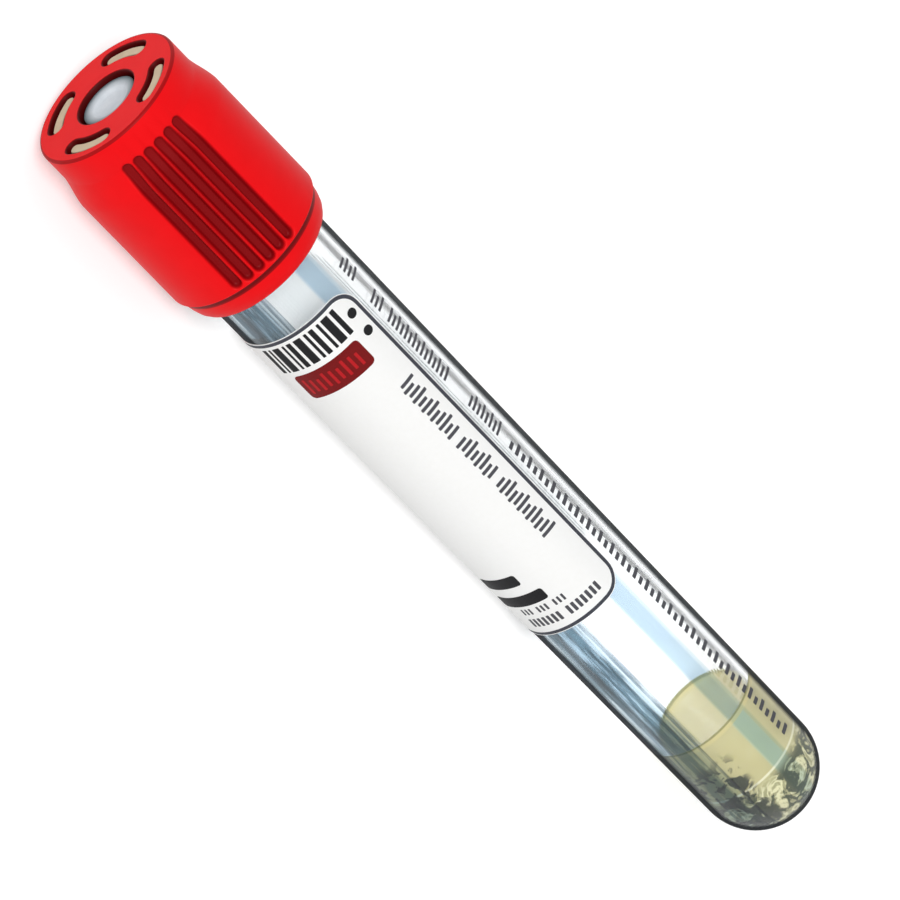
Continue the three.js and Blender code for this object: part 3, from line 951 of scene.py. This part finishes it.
INK_THICK = 0.012
INK_SINKS = 0.002  # into what it is printed on
INK_LIFT = LABEL_THICK - STUCK - INK_SINKS

# Heights above the tip, in millimetres, and turns from the grip panel's middle, in degrees.
BARS_FROM = -65
BARS_HIGH = (72.5, 75.7)
BAR_WIDTHS = [0.5, 0.25, 0.8, 0.25, 0.5, 0.8, 0.3, 0.5, 0.3, 0.8, 0.5]
BAR_GAPS = [0.3, 0.25, 0.35, 0.25, 0.3, 0.35, 0.25, 0.4, 0.25, 0.3, 0.3]
BAR_CORNER = 0.06
DOTS_WIDE = (17, 26)
DOTS_HIGH = [(73.3, 74.3), (70.9, 71.9)]
DOT_CORNER = 0.48
BLOCK_WIDE = (-59, 9)
BLOCK_HIGH = (68.8, 71.9)
BLOCK_CORNER = 0.5
BLOCK_STROKES = 9
BLOCK_STROKES_FROM = -54
BLOCK_STROKE_PITCH = 6.6
BLOCK_STROKE_WIDTH = 0.3
BLOCK_STROKE_HIGH = (69.4, 71.3)
SCALE_STROKES = 34
SCALE_GAPS = (12, 21)
SCALE_FROM = 43.3
SCALE_PITCH = 0.65
SCALE_STROKE_HEIGHT = 0.36
SCALE_WIDE = (6, 22.5)
DASH_ROWS = [  # how many, those left out, first left end, pitch, width, low, high and corner
    (11, (3, 7), -62, 4.4, 2.2, 36.9, 37.7, 0.08),
    (15, (7,), -64, 5.2, 3.1, 35.2, 36.3, 0.1),
]
REGISTRATION_BARS = [(-80, -37, 40.7, 42.1), (-80, -26, 38.1, 39.5)]  # left, right, low, high
REGISTRATION_CORNER = 0.3
FINE_CORNER = 0.08


def from_front(degrees):
    """How far round the tube a turn from the grip panel's middle is, in millimetres."""
    return math.radians(degrees) * WRAP_RADIUS


def print_piece(made, name, ink, lift):
    """Lays flat shapes on the tube or its label as one printed piece."""
    wrapped(made, lift, INK_THICK)
    piece(made, name, [ink], "filled_tube")


black_ink = printed("black_ink", "#08080A", "#19191C")
red_ink = printed("dark_red_ink", "#660205", "#780709")
bright_ink = printed("bright_red_ink", "#B8161D", "#A61118")
grey_ink = printed("grey_ink", "#3C3C40", "#54545A")

# A generic bar pattern, and two round dots beside it.
bm = bmesh.new()
x = from_front(BARS_FROM)
for width, gap in zip(BAR_WIDTHS, BAR_GAPS):
    rounded(bm, x, x + width, *BARS_HIGH, BAR_CORNER)
    x += width + gap
left, right = DOTS_WIDE
for low, high in DOTS_HIGH:
    rounded(bm, from_front(left), from_front(right), low, high, DOT_CORNER)
print_piece(bm, "label_black_bars", black_ink, INK_LIFT)

# The block of the colour code, and lighter strokes over it with their ends at uneven heights.
bm = bmesh.new()
left, right = BLOCK_WIDE
rounded(bm, from_front(left), from_front(right), *BLOCK_HIGH, BLOCK_CORNER)
print_piece(bm, "label_red_block", red_ink, INK_LIFT)

bm = bmesh.new()
lowest, highest = BLOCK_STROKE_HIGH
for i in range(BLOCK_STROKES):
    left = from_front(BLOCK_STROKES_FROM + BLOCK_STROKE_PITCH * i)
    right = left + BLOCK_STROKE_WIDTH
    rounded(bm, left, right, lowest + 0.15 * (i % 2), highest - 0.2 * (i % 3), FINE_CORNER)
print_piece(bm, "label_bright_strokes", bright_ink, INK_LIFT + INK_THICK - INK_SINKS)

# A scale of uneven strokes up the right-hand side, in three groups.
bm = bmesh.new()
for i in range(SCALE_STROKES):
    if i in SCALE_GAPS:
        continue
    low = SCALE_FROM + SCALE_PITCH * i
    left = from_front(SCALE_WIDE[0] + 1.5 * (i % 2))
    right = from_front(SCALE_WIDE[1] - 2.5 * (i % 3))
    rounded(bm, left, right, low, low + SCALE_STROKE_HEIGHT, FINE_CORNER)
print_piece(bm, "label_grey_scale", grey_ink, INK_LIFT)

# Two dashed lines at the foot.
bm = bmesh.new()
for count, left_out, start, pitch, width, low, high, corner in DASH_ROWS:
    for i in range(count):
        if i not in left_out:
            left = start + pitch * i
            rounded(bm, from_front(left), from_front(left + width), low, high, corner)
print_piece(bm, "label_fine_dashes", grey_ink, INK_LIFT)

# Two bars by which the printed web is kept in register.
bm = bmesh.new()
for left, right, low, high in REGISTRATION_BARS:
    rounded(bm, from_front(left), from_front(right), low, high, REGISTRATION_CORNER)
print_piece(bm, "label_registration_bars", black_ink, INK_LIFT)


# ---- marks on the bare strip ----
# A scale pad-printed straight onto the tube beside the label: a few groups of fine strokes under
# the cap, and then a line of small squares down past the gel's top.

STRIP_LIFT = -0.004  # the ink sinks into the tube, so that no air shows between them
STROKE_GROUPS = [(75.3, 4, 44, 60), (71.2, 3, 42, 58), (61.4, 15, 41, 57), (53.5, 8, 41, 57)]
SQUARES = (9.1, 48, 41, 53)
STROKE_ROW = (0.6, 0.3, BAR_CORNER)  # pitch, height and corner
SQUARE_ROW = (0.9, 0.46, FINE_CORNER)
MARK_SHORTER = 4  # degrees by which every other mark is the shorter


def mark_row(made, place, shape):
    """A row of marks up the tube. Its place is its foot, count, and left and right in degrees."""
    foot, count, left, right = place
    pitch, height, corner = shape
    for i in range(count):
        low = foot + pitch * i
        end = from_front(right - MARK_SHORTER * (i % 2))
        rounded(made, from_front(left), end, low, low + height, corner)


bm = bmesh.new()
for group in STROKE_GROUPS:
    mark_row(bm, group, STROKE_ROW)
mark_row(bm, SQUARES, SQUARE_ROW)
print_piece(bm, "tube_scale_marks", grey_ink, STRIP_LIFT)
